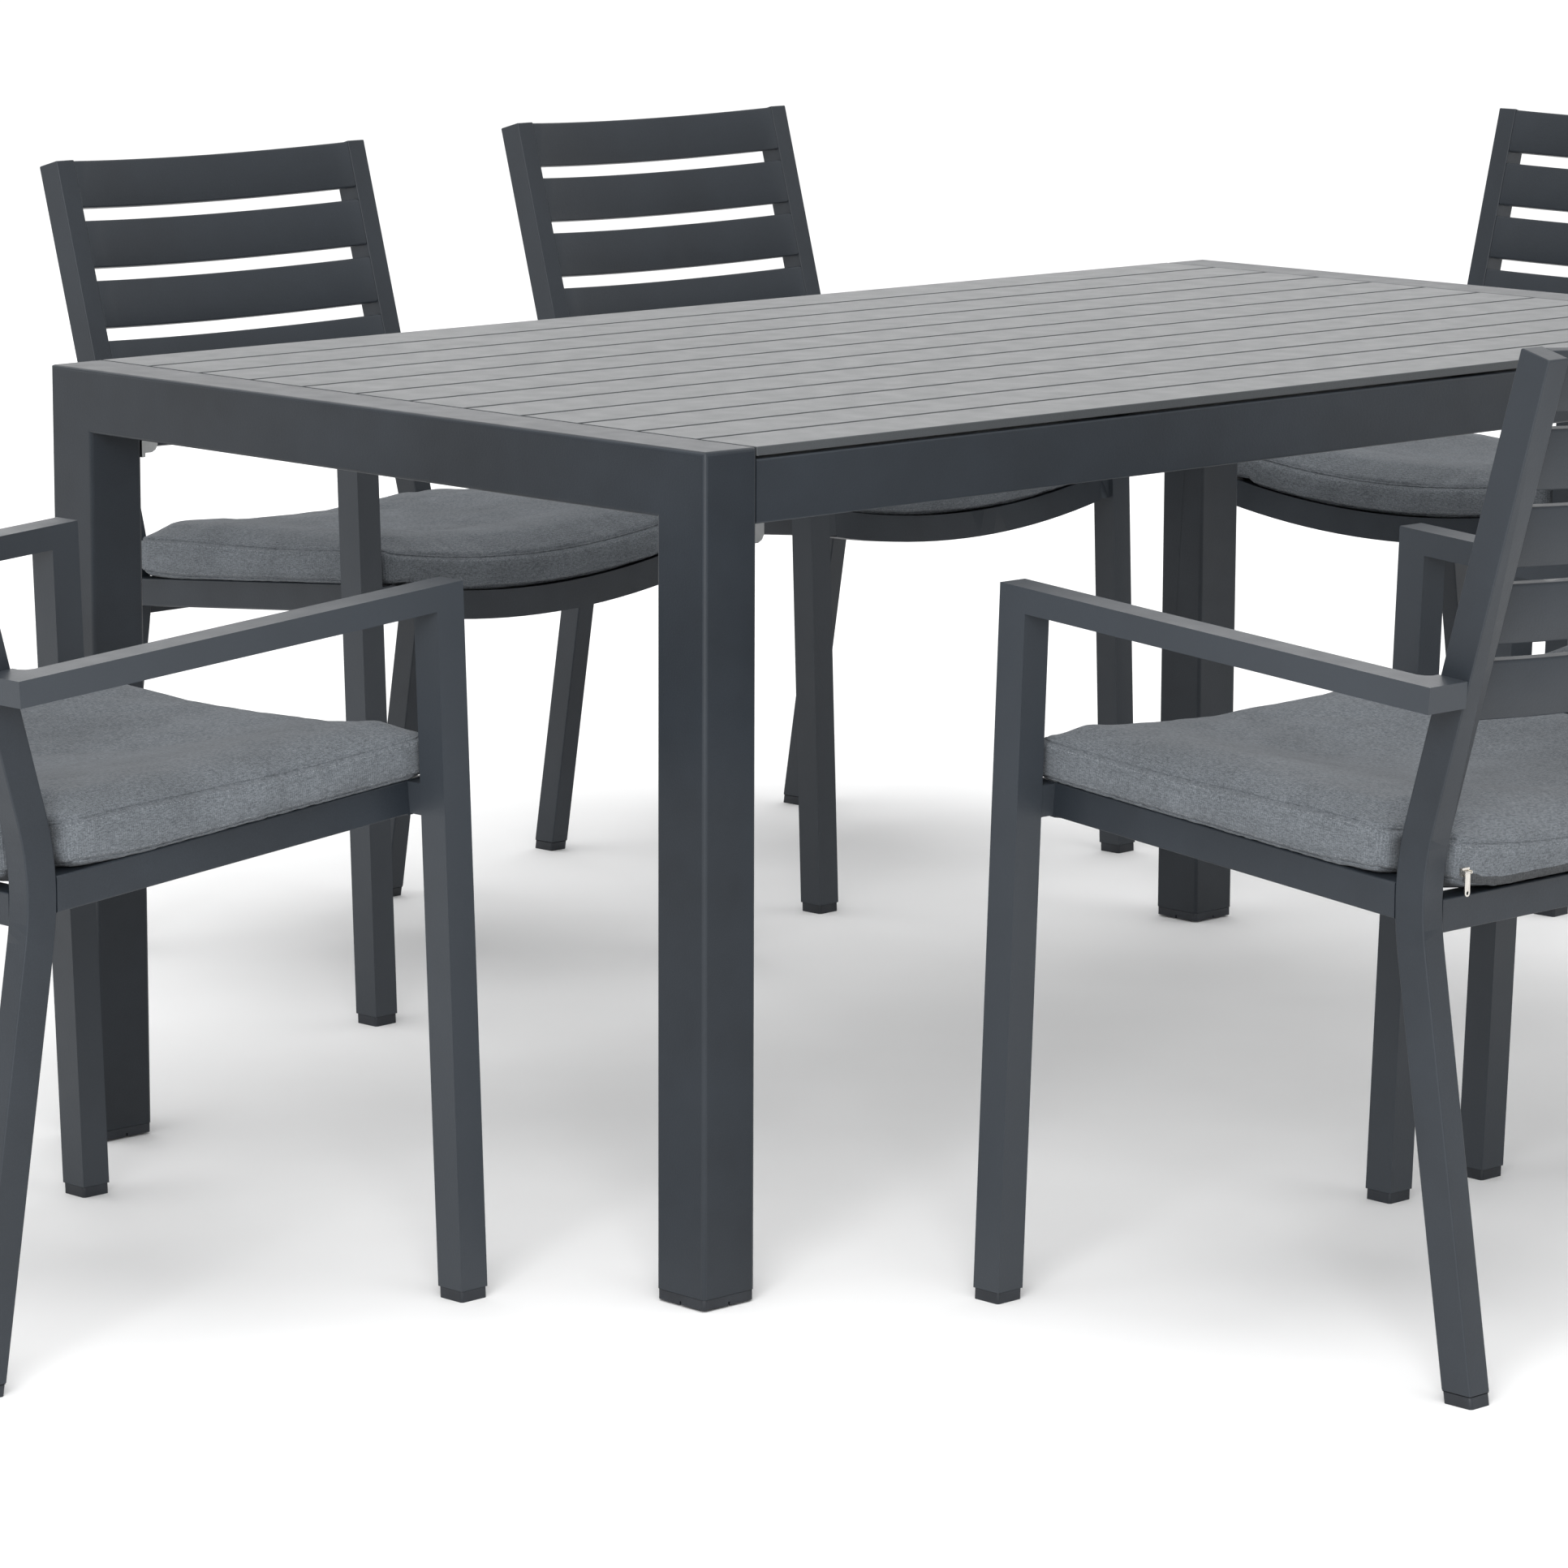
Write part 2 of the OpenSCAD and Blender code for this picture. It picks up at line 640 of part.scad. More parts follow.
// cushion seen from the front: dished on top, following the seat underneath
module cushion_section() {
    belly = rail_in - 1;
    difference() {
        union() {
            translate([-cush_half, fit]) square([2 * cush_half, cushion_t]);
            intersection() {
                translate([0, dip_r - seat_dip + fit]) circle(r = dip_r, $fn = 180);
                translate([-belly, -seat_dip - 1]) square([2 * belly, seat_dip + 2]);
            }
        }
        translate([0, cushion_t + fit - cushion_dip + cush_r]) circle(r = cush_r, $fn = 180);
    }
}

// cushion seen from above: u across, v forward
module cushion_plan() {
    front = cushion_front;
    r = cushion_r;
    translate([-cush_half, shoulder_v]) square([2 * cush_half, front - shoulder_v - r]);
    translate([-cush_half + r, shoulder_v]) square([2 * (cush_half - r), front - shoulder_v]);
    for (s = [-1, 1]) translate([s * (cush_half - r), front - r]) circle(r);
    translate([-tongue_half, tongue_v]) square([2 * tongue_half, shoulder_v - tongue_v + 1]);
}

module cushion() {
    rail_v = apex_v - tube / 2 - 1;
    color([0.45, 0.47, 0.49]) difference() {
        translate([0, 0, seat_z]) rotate([seat_fall, 0, 0]) intersection() {
            along_seat(over, chair_w + over) cushion_section();
            translate([0, 0, -over]) linear_extrude(2 * over) cushion_plan();
        }
        // seat on the rear rail
        translate([-half, rail_v - 2 * over, rear_rail_z + fit - over])
            cube([chair_w, 2 * over + rail_t / 2 + fit, over]);
    }
}

// slider body with two lugs and the pin that carries the pull
module zip_slider() {
    color([0.75, 0.73, 0.7]) translate([zip_u, pin_v, pin_z]) {
        translate([-slider_w / 2, lug_d / 2, -slider_h / 2]) cube([slider_w, slider_d, slider_h]);
        for (s = [-1, 1]) translate([s * (slider_w / 2 - lug_t / 2), 0, 0]) {
            rotate([0, 90, 0]) cylinder(d = lug_d, h = lug_t, center = true);
            translate([-lug_t / 2, 0, -lug_d / 2]) cube([lug_t, lug_d / 2 + 0.5, lug_d]);
        }
        rotate([0, 90, 0]) cylinder(d = pin_d, h = slider_w - 0.5, center = true);
    }
}

// pull hanging straight down from the pin
module zip_pull() {
    eye_w = slider_w - 2 * lug_t - 2 * fit;
    w = min(pull_w, eye_w);
    color([0.75, 0.73, 0.7]) translate([zip_u, pin_v, pin_z]) difference() {
        union() {
            rotate([0, 90, 0]) cylinder(d = pull_eye - 1, h = w, center = true);
            translate([-w / 2, -pull_t / 2, -pull_l + w / 2]) cube([w, pull_t, pull_l - w / 2 - pin_d]);
            translate([0, pull_t / 2, -pull_l + w / 2]) rotate([90, 0, 0]) cylinder(d = w, h = pull_t);
        }
        rotate([0, 90, 0]) cylinder(d = pull_hole, h = 2 * w, center = true);
        translate([0, pull_t, -pull_l + w / 2]) rotate([90, 0, 0]) cylinder(d = 0.5 * w, h = 3 * pull_t);
    }
}

// sets a chair piece in place number i
module place(i) {
    translate([places[i][0], places[i][1], 0]) rotate([0, 0, places[i][2]]) children();
}

module near1_arms() { place(0) arms(); }
module near1_back_frame() { place(0) back_frame(); }
module near1_back_slats() { place(0) back_slats(); }
module near1_seat_frame() { place(0) seat_frame(); }
module near1_feet() { place(0) feet(); }
module near1_cushion() { place(0) cushion(); }
module near1_zip_slider() { place(0) zip_slider(); }
module near1_zip_pull() { place(0) zip_pull(); }

module near2_arms() { place(1) arms(); }
module near2_back_frame() { place(1) back_frame(); }
module near2_back_slats() { place(1) back_slats(); }
module near2_seat_frame() { place(1) seat_frame(); }
module near2_feet() { place(1) feet(); }
module near2_cushion() { place(1) cushion(); }
module near2_zip_slider() { place(1) zip_slider(); }
module near2_zip_pull() { place(1) zip_pull(); }

module far1_arms() { place(2) arms(); }
module far1_back_frame() { place(2) back_frame(); }
module far1_back_slats() { place(2) back_slats(); }
module far1_seat_frame() { place(2) seat_frame(); }
module far1_feet() { place(2) feet(); }
module far1_cushion() { place(2) cushion(); }
module far1_zip_slider() { place(2) zip_slider(); }
module far1_zip_pull() { place(2) zip_pull(); }

module far2_arms() { place(3) arms(); }
module far2_back_frame() { place(3) back_frame(); }
module far2_back_slats() { place(3) back_slats(); }
module far2_seat_frame() { place(3) seat_frame(); }
module far2_feet() { place(3) feet(); }
module far2_cushion() { place(3) cushion(); }
module far2_zip_slider() { place(3) zip_slider(); }
module far2_zip_pull() { place(3) zip_pull(); }

module left_arms() { place(4) arms(); }
module left_back_frame() { place(4) back_frame(); }
module left_back_slats() { place(4) back_slats(); }
module left_seat_frame() { place(4) seat_frame(); }
module left_feet() { place(4) feet(); }
module left_cushion() { place(4) cushion(); }
module left_zip_slider() { place(4) zip_slider(); }
module left_zip_pull() { place(4) zip_pull(); }

module right_arms() { place(5) arms(); }
module right_back_frame() { place(5) back_frame(); }
module right_back_slats() { place(5) back_slats(); }
module right_seat_frame() { place(5) seat_frame(); }
module right_feet() { place(5) feet(); }
module right_cushion() { place(5) cushion(); }
module right_zip_slider() { place(5) zip_slider(); }
module right_zip_pull() { place(5) zip_pull(); }

table_end_left();
table_end_right();
table_underframe();
table_slats();
table_brackets();
table_bolts();
table_foot_caps();
glide_near_left();
glide_near_right();
glide_far_left();
glide_far_right();
near1_arms();
near1_back_frame();
near1_back_slats();
near1_seat_frame();
near1_feet();
near1_cushion();
near1_zip_slider();
near1_zip_pull();
near2_arms();
near2_back_frame();
near2_back_slats();
near2_seat_frame();
near2_feet();
near2_cushion();
near2_zip_slider();
near2_zip_pull();
far1_arms();
far1_back_frame();
far1_back_slats();
far1_seat_frame();
far1_feet();
far1_cushion();
far1_zip_slider();
far1_zip_pull();
far2_arms();
far2_back_frame();
far2_back_slats();
far2_seat_frame();
far2_feet();
far2_cushion();
far2_zip_slider();
far2_zip_pull();
left_arms();
left_back_frame();
left_back_slats();
left_seat_frame();
left_feet();
left_cushion();
left_zip_slider();
left_zip_pull();
right_arms();
right_back_frame();
right_back_slats();
right_seat_frame();
right_feet();
right_cushion();
right_zip_slider();
right_zip_pull();
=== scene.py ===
"""Patio dining set: the CAD frame with finished materials, stuffed seat cushions, floor, light and camera."""

import json
import math

import bmesh
import bpy
from mathutils import Euler, Matrix, Vector, noise
from mathutils.bvhtree import BVHTree
from mathutils.kdtree import KDTree


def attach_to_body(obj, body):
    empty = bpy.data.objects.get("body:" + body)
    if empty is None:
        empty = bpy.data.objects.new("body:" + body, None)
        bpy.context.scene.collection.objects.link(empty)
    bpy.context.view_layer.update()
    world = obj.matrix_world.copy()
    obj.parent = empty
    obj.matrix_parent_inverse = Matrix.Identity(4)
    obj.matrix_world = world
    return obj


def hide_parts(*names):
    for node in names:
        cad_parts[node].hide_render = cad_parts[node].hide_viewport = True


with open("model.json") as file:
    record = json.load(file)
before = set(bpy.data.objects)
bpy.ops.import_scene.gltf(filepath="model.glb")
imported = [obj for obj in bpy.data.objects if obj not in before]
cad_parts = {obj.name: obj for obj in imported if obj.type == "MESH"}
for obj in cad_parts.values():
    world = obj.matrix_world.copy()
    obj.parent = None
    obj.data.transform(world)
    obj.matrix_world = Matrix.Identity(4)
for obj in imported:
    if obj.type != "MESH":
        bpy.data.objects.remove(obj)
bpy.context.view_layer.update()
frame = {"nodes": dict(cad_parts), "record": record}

CHAIRS = ("near1", "near2", "far1", "far2", "left", "right")


# ------------------------------------------------------------ small helpers

def link(obj):
    bpy.context.scene.collection.objects.link(obj)
    return obj


def mesh_object(name, verts, faces, matrix=None):
    mesh = bpy.data.meshes.new(name)
    mesh.from_pydata([tuple(v) for v in verts], [], faces)
    mesh.update()
    obj = link(bpy.data.objects.new(name, mesh))
    if matrix is not None:
        obj.matrix_world = matrix
    return obj


def smooth(obj):
    for polygon in obj.data.polygons:
        polygon.use_smooth = True


def lerp(a, b, t):
    return a + (b - a) * t


# ------------------------------------------------------------ materials

class Nodes:
    """Short way to write a node tree."""

    def __init__(self, name):
        self.material = bpy.data.materials.new(name)
        self.material.use_nodes = True
        self.tree = self.material.node_tree
        self.shader = self.tree.nodes["Principled BSDF"]

    def add(self, kind, **values):
        node = self.tree.nodes.new("ShaderNode" + kind)
        for key, value in values.items():
            if hasattr(node, key):
                setattr(node, key, value)
            else:
                node.inputs[key.replace("_", " ")].default_value = value
        return node

    def join(self, source, target):
        self.tree.links.new(source, target)

    def place(self, scale=(1, 1, 1), turn=0.0):
        """Object coordinates, scaled and turned about Z."""
        coord = self.add("TexCoord")
        mapping = self.add("Mapping")
        mapping.inputs["Scale"].default_value = scale
        mapping.inputs["Rotation"].default_value = (0, 0, turn)
        self.join(coord.outputs["Object"], mapping.inputs["Vector"])
        return mapping.outputs["Vector"]

    def noise(self, scale, detail=2.0, rough=0.5, vector=None):
        node = self.add("TexNoise")
        node.inputs["Scale"].default_value = scale
        node.inputs["Detail"].default_value = detail
        node.inputs["Roughness"].default_value = rough
        self.join(vector if vector else self.place(), node.inputs["Vector"])
        return node.outputs["Fac"]

    def ramp(self, fac, low, high, start=0.35, end=0.65):
        node = self.add("ValToRGB")
        node.color_ramp.elements[0].position = start
        node.color_ramp.elements[1].position = end
        node.color_ramp.elements[0].color = (*low, 1)
        node.color_ramp.elements[1].color = (*high, 1)
        self.join(fac, node.inputs["Fac"])
        return node.outputs["Color"]

    def span(self, fac, low, high):
        node = self.add("MapRange")
        node.inputs["To Min"].default_value = low
        node.inputs["To Max"].default_value = high
        self.join(fac, node.inputs["Value"])
        return node.outputs["Result"]

    def math(self, operation, a, b):
        node = self.add("Math", operation=operation)
        for socket, value in zip(node.inputs, (a, b)):
            if isinstance(value, (int, float)):
                socket.default_value = value
            else:
                self.join(value, socket)
        return node.outputs[0]

    def mix(self, kind, fac, a, b):
        node = self.add("Mix", data_type="RGBA", blend_type=kind)
        for socket, value in zip((node.inputs[0], node.inputs[6], node.inputs[7]), (fac, a, b)):
            if isinstance(value, (int, float)):
                socket.default_value = value
            elif isinstance(value, tuple):
                socket.default_value = (*value, 1)
            else:
                self.join(value, socket)
        return node.outputs[2]

    def bump(self, height, strength, distance, normal=None):
        node = self.add("Bump")
        node.inputs["Strength"].default_value = strength
        node.inputs["Distance"].default_value = distance
        self.join(height, node.inputs["Height"])
        if normal:
            self.join(normal, node.inputs["Normal"])
        return node.outputs["Normal"]

    def colour(self, source):
        self.join(source, self.shader.inputs["Base Color"])

    def roughness(self, source):
        self.join(source, self.shader.inputs["Roughness"])

    def normal(self, source):
        self.join(source, self.shader.inputs["Normal"])

    def painted_edge_highlight(self, amount=0.5, start=0.52, end=0.60):
        """Painted highlight where edges are convex, from the geometry's pointiness."""
        geometry = self.add("NewGeometry")
        return self.math("MULTIPLY", self.span_of(geometry.outputs["Pointiness"], start, end), amount)

    def span_of(self, value, low, high):
        node = self.add("MapRange")
        node.inputs["From Min"].default_value = low
        node.inputs["From Max"].default_value = high
        self.join(value, node.inputs["Value"])
        return node.outputs["Result"]


def powder_coat(name, base, edge, speck=0.18, rough=0.42):
    """Satin powder coat: fine orange peel, faint mottling, and paler convex edges painted on as a highlight.
    """
    n = Nodes(name)
    mottled = n.noise(9.0, 3.0, 0.6)
    fine = n.noise(900.0, 2.0, 0.6)
    peel = n.noise(420.0, 2.0, 0.5)
    low = tuple(c * (1 - speck) for c in base)
    high = tuple(c * (1 + speck) for c in base)
    body = n.ramp(mottled, low, high, 0.3, 0.7)
    sparkle = n.ramp(fine, tuple([0.86] * 3), tuple([1.12] * 3), 0.35, 0.7)
    body = n.mix("MULTIPLY", 1.0, body, sparkle)
    # the paler colour on convex edges is a painted highlight along the rounded edges
    n.colour(n.mix("MIX", n.painted_edge_highlight(0.6), body, edge))
    n.roughness(n.span(n.noise(35.0, 3.0), rough - 0.06, rough + 0.08))
    n.normal(n.bump(peel, 0.25, 0.0004, n.bump(fine, 0.12, 0.0002)))
    n.shader.inputs["Metallic"].default_value = 0.0
    n.shader.inputs["Specular IOR Level"].default_value = 0.33
    return n.material


def plastic(name, base, rough):
    n = Nodes(name)
    grain = n.noise(700.0, 2.0)
    n.colour(n.ramp(n.noise(30.0), tuple(c * 0.8 for c in base), tuple(c * 1.25 for c in base)))
    n.roughness(n.span(grain, rough - 0.08, rough + 0.08))
    n.normal(n.bump(grain, 0.3, 0.0002))
    n.shader.inputs["Specular IOR Level"].default_value = 0.35
    return n.material


def metal(name, base, rough):
    n = Nodes(name)
    streak = n.noise(60.0, 4.0, 0.6, n.place((1, 8, 1)))
    n.colour(n.ramp(streak, tuple(c * 0.82 for c in base), base))
    n.roughness(n.span(streak, rough - 0.06, rough + 0.12))
    n.normal(n.bump(n.noise(800.0, 2.0), 0.15, 0.0001))
    n.shader.inputs["Metallic"].default_value = 1.0
    return n.material


def weave(n, pitch):
    """Height of a plain weave with the given thread pitch in metres, along the piece's own X and Y."""
    waves = []
    for turn in (0.0, math.pi / 2):
        wave = n.add("TexWave", wave_type="BANDS", bands_direction="X", wave_profile="SIN")
        wave.inputs["Scale"].default_value = 1 / pitch / 3.14159 / 2
        wave.inputs["Distortion"].default_value = 0.6
        wave.inputs["Detail"].default_value = 1.0
        wave.inputs["Detail Scale"].default_value = 2.0
        n.join(n.place((1, 1, 1), turn), wave.inputs["Vector"])
        waves.append(wave.outputs["Fac"])
    return n.math("MULTIPLY", waves[0], waves[1])


def woven_fabric(name, dark, pale, rough=0.9):
    """Heathered outdoor polyester: mixed dark and pale yarns in a plain weave, slubs, and a soft sheen."""
    n = Nodes(name)
    warp = n.noise(1.0, 2.0, 0.5, n.place((1000, 230, 1000)))
    weft = n.noise(1.0, 2.0, 0.5, n.place((230, 1000, 1000)))
    yarn = n.math("ADD", n.math("MULTIPLY", warp, 0.5), n.math("MULTIPLY", weft, 0.5))
    heather = n.ramp(yarn, dark, pale, 0.38, 0.62)
    patches = n.ramp(n.noise(14.0, 3.0, 0.6), tuple([0.9] * 3), tuple([1.08] * 3))
    cloth = n.mix("MULTIPLY", 1.0, heather, patches)
    threads = weave(n, 0.0011)
    cloth = n.mix("MULTIPLY", 0.35, cloth, n.ramp(threads, tuple([0.7] * 3), tuple([1.1] * 3), 0.1, 0.7))
    n.colour(cloth)
    n.roughness(n.span(yarn, rough - 0.07, min(rough + 0.07, 1)))
    soft = n.bump(n.noise(45.0, 3.0, 0.55), 0.25, 0.004)
    n.normal(n.bump(threads, 0.45, 0.0005, n.bump(yarn, 0.3, 0.0004, soft)))
    n.shader.inputs["Specular IOR Level"].default_value = 0.2
    n.shader.inputs["Sheen Weight"].default_value = 0.08
    n.shader.inputs["Sheen Roughness"].default_value = 0.5
    return n.material


# the paler edge tone is a painted highlight, laid on convex edges over the charcoal
CHARCOAL = (0.0150, 0.0195, 0.0255)
CHARCOAL_EDGE_HIGHLIGHT = (0.042, 0.049, 0.058)
MATERIALS = {
    "table_frame": powder_coat("table_frame", CHARCOAL, CHARCOAL_EDGE_HIGHLIGHT),
    # the top is the frame's charcoal powder coat drawn in a paler grey: a painted reflection of the light its
    # slats catch from above
    "table_top": powder_coat("table_top", (0.044, 0.049, 0.053), (0.09, 0.095, 0.10), 0.1, 0.40),
    "chair_frame": powder_coat("chair_frame", CHARCOAL, CHARCOAL_EDGE_HIGHLIGHT),
    "chair_slats": powder_coat("chair_slats", CHARCOAL, CHARCOAL_EDGE_HIGHLIGHT, 0.12),
    "zinc_steel": metal("zinc_steel", (0.55, 0.56, 0.56), 0.35),
    "foot_plastic": plastic("foot_plastic", (0.017, 0.020, 0.025), 0.5),
    "glide_plastic": plastic("glide_plastic", (0.018, 0.018, 0.020), 0.55),
    "cushion_fabric": woven_fabric("cushion_fabric", (0.074, 0.083, 0.093), (0.160, 0.174, 0.190)),
    "seam_thread": woven_fabric("seam_thread", (0.15, 0.163, 0.177), (0.25, 0.265, 0.28)),
    "zip_metal": metal("zip_metal", (0.72, 0.69, 0.64), 0.22),
    "zip_tape": woven_fabric("zip_tape", (0.03, 0.032, 0.035), (0.06, 0.064, 0.068)),
}

slots = {entry["node"]: entry["material_slot"] for entry in frame["record"]["subparts"]}

ROUNDED = {
    "table_end": 0.0035, "underframe": 0.0018, "table_slats": 0.0010, "arms": 0.0024, "back_frame": 0.0026,
    "back_slats": 0.0022, "seat_frame": 0.0016, "feet": 0.0016, "foot_caps": 0.0014, "glide": 0.0010,
    "zip_pull": 0.0003, "zip_slider": 0.0004,
}


def dress(node, obj):
    """Gives a CAD node its material and softly rounded edges."""
    obj.data.materials.clear()
    obj.data.materials.append(MATERIALS[slots[node]])
    for key, width in ROUNDED.items():
        if key in node:
            weld = obj.modifiers.new("weld", "WELD")
            weld.merge_threshold = 0.00002
            bevel = obj.modifiers.new("round", "BEVEL")
            bevel.width = width
            bevel.segments = 2
            bevel.limit_method = "ANGLE"
            bevel.angle_limit = math.radians(32)
            bevel.use_clamp_overlap = True
            bevel.harden_normals = True
            break


for node, obj in frame["nodes"].items():
    if not node.endswith("_cushion"):
        dress(node, obj)


# ------------------------------------------------------------ seat cushions

SEAT_Z = 0.455                 # top of the side rails at the front of the chair
SEAT_FALL = math.radians(4.8)  # fall of the seat toward the back
PIN = Vector((-0.192, -0.448615))   # zip pull's pivot in the chair's own plan
HALF = 0.2365                  # half width between the arms
FRONT = 0.008
SHOULDER = -0.3965             # back edge beside the uprights
TONGUE = -0.4430               # back edge between the uprights
TONGUE_HALF = 0.1955
SEAT_DIP = 0.023
SEAT_R = 1.122                 # radius of the dipped seat
RAIL_IN = 0.199                # inner face of the side rails
REAR_RAIL_TOP = 0.4085
REAR_RAIL_FRONT = -0.403
UPRIGHT_IN = 0.1995
CROWN = 0.018                  # rise of the top above its seam before filling
CUSHION_VOXEL = 0.0045


def chair_matrix(chair):
    """Place of a chair's own frame, from its joints in the record."""
    joints = {joint["name"]: joint for joint in frame["record"]["behaviour"]["joints"]}
    ahead = joints[chair + "_chair_slide"]["axis"]
    pin = joints[chair + "_pull_swing"]["pos_m"]
    turned = Matrix.Rotation(math.atan2(-ahead[0], ahead[1]), 4, "Z")
    offset = turned @ Vector((PIN.x, PIN.y, 0))
    return Matrix.Translation((pin[0] - offset.x, pin[1] - offset.y, 0)) @ turned


def seat_matrix():
    """From the sloping frame of the seat to the chair's own frame."""
    return Matrix.Translation((0, 0, SEAT_Z)) @ Matrix.Rotation(SEAT_FALL, 4, "X")


def ease(a, b, x):
    t = min(max((x - a) / (b - a), 0.0), 1.0)
    return t * t * (3 - 2 * t)


def rest_height(u, v):
    """Lowest height the cushion may reach over the seat frame, in the seat's frame."""
    dip = -SEAT_DIP + min(abs(u), 0.226) ** 2 / (2 * SEAT_R)
    level = lerp(dip, 0.0, ease(RAIL_IN - 0.006, RAIL_IN, abs(u)))
    if v < REAR_RAIL_FRONT + 0.012:
        rail = (REAR_RAIL_TOP - SEAT_Z - v * math.sin(SEAT_FALL)) / math.cos(SEAT_FALL)
        level = max(level, lerp(level, rail, ease(REAR_RAIL_FRONT + 0.012, REAR_RAIL_FRONT, v)))
    return level + 0.0006


def lower_edge(u, v):
    """Height of the lower seam: a few millimetres up at the rim, and lifted toward the back corners."""
    back = ease(-0.30, -0.43, v)
    corner = ease(0.03, 0.20, abs(u))
    dip = -SEAT_DIP * (1 - min(abs(u) / 0.236, 1) ** 2)
    return max(dip + 0.0030 + 0.007 * back * corner, rest_height(u, v) + 0.0016)


def upper_edge(u, v):
    """Height of the upper seam along the rim."""
    return 0.0355 + 0.009 * ease(-0.12, -0.41, -abs(v)) - 0.0225 * (1 - min(abs(u) / HALF, 1) ** 2)


def arc(cx, cy, radius, start, end, steps):
    angles = [lerp(start, end, i / steps) for i in range(steps + 1)]
    return [(cx + radius * math.cos(angle), cy + radius * math.sin(angle)) for angle in angles]


def cushion_rim(inset):
    """Plan outline, anticlockwise, with eased corners and a notch round each upright."""
    half, front = HALF - inset, FRONT - inset
    shoulder, tongue, tongue_half = SHOULDER + inset, TONGUE + inset, TONGUE_HALF - inset
    right = [(half, shoulder + 0.014)]
    right += arc(half - 0.017, front - 0.017, 0.017, 0, math.pi / 2, 8)
    left = [(-x, y) for x, y in reversed(arc(half - 0.017, front - 0.017, 0.017, 0, math.pi / 2, 8))]
    notch_left = arc(-half + 0.014, shoulder + 0.014, 0.014, math.pi, 1.5 * math.pi, 5)
    notch_left += arc(-tongue_half - 0.006, shoulder - 0.006, 0.006, math.pi / 2, 0, 4)
    notch_left += arc(-tongue_half + 0.012, tongue + 0.012, 0.012, math.pi, 1.5 * math.pi, 5)
    notch_right = [(-x, y) for x, y in reversed(notch_left)]
    return right + left + notch_left + notch_right


def resample(loop, step):
    """Points at an even step round a closed loop."""
    lengths = [math.dist(a, b) for a, b in zip(loop, loop[1:] + loop[:1])]
    total = sum(lengths)
    count = max(8, round(total / step))
    points, index, start = [], 0, 0.0
    for k in range(count):
        at = total * k / count
        while at > start + lengths[index]:
            start += lengths[index]
            index += 1
        a, b = loop[index], loop[(index + 1) % len(loop)]
        t = (at - start) / lengths[index] if lengths[index] else 0.0
        points.append(tuple(lerp(p, q, t) for p, q in zip(a, b)))
    return points


def cushion_blank():
    """Closed starting shape: rings that step in from the rim, on top and underneath."""
    verts, faces = [], []
    rim = resample(cushion_rim(0.0020), 0.008)
    count = len(rim)
    centre = (0.0, -0.2)
    steps = 14

    def ring(t, height):
        for x, y in rim:
            u, v = lerp(x, centre[0], t), lerp(y, centre[1], t)
            verts.append((u, v, height(u, v, t)))

    def top(u, v, t):
        return upper_edge(u, v) + 0.001 + CROWN * ease(0.0, 0.16, t) - 0.010 * ease(0.3, 1.0, t)

    def under(u, v, t):
        return lerp(lower_edge(u, v), rest_height(u, v) + 0.0015, ease(0.0, 0.12, t))

    for k in range(steps):
        ring(k / steps, top)
    verts.append((centre[0], centre[1], top(centre[0], centre[1], 1)))
    peak = len(verts) - 1
    base = len(verts)
    for k in range(steps):
        ring(k / steps, under)
    verts.append((centre[0], centre[1], under(centre[0], centre[1], 1)))
    low = len(verts) - 1
    for k in range(steps):
        for i in range(count):
            j = (i + 1) % count
            if k < steps - 1:
                a, b = k * count, (k + 1) * count
                faces.append((a + i, a + j, b + j, b + i))
                faces.append((base + b + i, base + b + j, base + a + j, base + a + i))
            else:
                faces.append((k * count + i, k * count + j, peak))
                faces.append((base + k * count + j, base + k * count + i, low))
    for i in range(count):
        j = (i + 1) % count
        faces.append((i, base + i, base + j, j))
    return verts, faces


def evaluated(obj, name):
    """A new object with the mesh that obj shows, modifiers included."""
    graph = bpy.context.evaluated_depsgraph_get()
    mesh = bpy.data.meshes.new_from_object(obj.evaluated_get(graph))
    return link(bpy.data.objects.new(name, mesh))


def remove(obj):
    bpy.data.objects.remove(obj, do_unlink=True)


def stuff(blank):
    """Blows a copy of the blank up gently with a cloth simulation, and returns where each point went."""
    bag = link(bpy.data.objects.new("bag", blank.data.copy()))
    cloth = bag.modifiers.new("cloth", "CLOTH")
    settings = cloth.settings
    settings.quality = 6
    settings.mass = 0.25
    settings.tension_stiffness = 22
    settings.compression_stiffness = 10
    settings.shear_stiffness = 8
    settings.bending_stiffness = 1.5
    settings.use_pressure = True
    settings.uniform_pressure_force = 1.5
    settings.effector_weights.gravity = 0.0
    cloth.collision_settings.use_self_collision = False
    for step in range(1, 15):
        bpy.context.scene.frame_set(step)
    graph = bpy.context.evaluated_depsgraph_get()
    shape = bag.evaluated_get(graph).to_mesh()
    moved = [v.co.copy() for v in shape.vertices]
    bag.evaluated_get(graph).to_mesh_clear()
    bpy.context.scene.frame_set(1)
    bpy.data.objects.remove(bag, do_unlink=True)
    bpy.context.view_layer.update()
    return moved


SWELL = 0.012   # most that a point may move while the cushion fills


def relax(form, times):
    """Evens out a mesh by moving each point halfway to its neighbours."""
    axes = {"use_axis_x": True, "use_axis_y": True, "use_axis_z": True}
    for _ in range(times):
        bmesh.ops.smooth_vert(form, verts=form.verts, factor=0.5, **axes)


